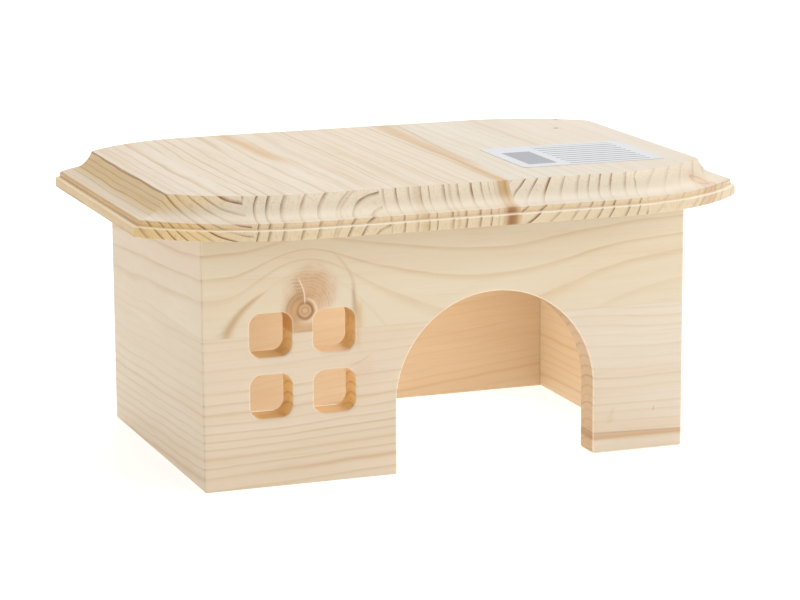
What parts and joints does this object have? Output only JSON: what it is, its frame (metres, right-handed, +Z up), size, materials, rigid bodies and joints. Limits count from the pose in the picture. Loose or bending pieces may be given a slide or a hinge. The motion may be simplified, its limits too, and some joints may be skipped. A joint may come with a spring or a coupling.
{
  "type": "wooden small-pet house",
  "caption": "Wooden hamster house with mitred walls, an arched door, small square windows, an open floor and a lift-off moulded roof board.",
  "frame": {"origin": "centre of the walls' footprint, on the surface that the house stands on", "axes": "+X along the house from the windows towards the door, +Y from the front wall with the door towards the back wall, +Z up"},
  "size_m": [0.236, 0.168, 0.1091],
  "materials": {
    "wall_wood": "sanded, untreated softwood",
    "roof_wood": "sanded, untreated softwood, end grain on the long edges",
    "batten_wood": "planed, untreated softwood",
    "label_paper": "matt white paper, blank of any text"
  },
  "bodies": {
    "walls": {"front_wall_lower_stave": "wall_wood", "front_wall_door_jamb": "wall_wood", "front_wall_upper_stave": "wall_wood", "back_wall_lower_stave": "wall_wood", "back_wall_upper_stave": "wall_wood", "left_wall_lower_stave": "wall_wood", "left_wall_upper_stave": "wall_wood", "right_wall_lower_stave": "wall_wood", "right_wall_upper_stave": "wall_wood"},
    "roof": {"roof_left_end_stave": "roof_wood", "roof_left_stave": "roof_wood", "roof_middle_stave": "roof_wood", "roof_right_stave": "roof_wood", "roof_right_end_stave": "roof_wood", "front_locating_batten": "batten_wood", "back_locating_batten": "batten_wood", "roof_label": "label_paper"}
  },
  "joints": [
    {"name": "roof_lift", "type": "slide", "parent": "walls", "child": "roof", "axis": [0, 0, 1], "range_m": [0, 0.06]}
  ]
}
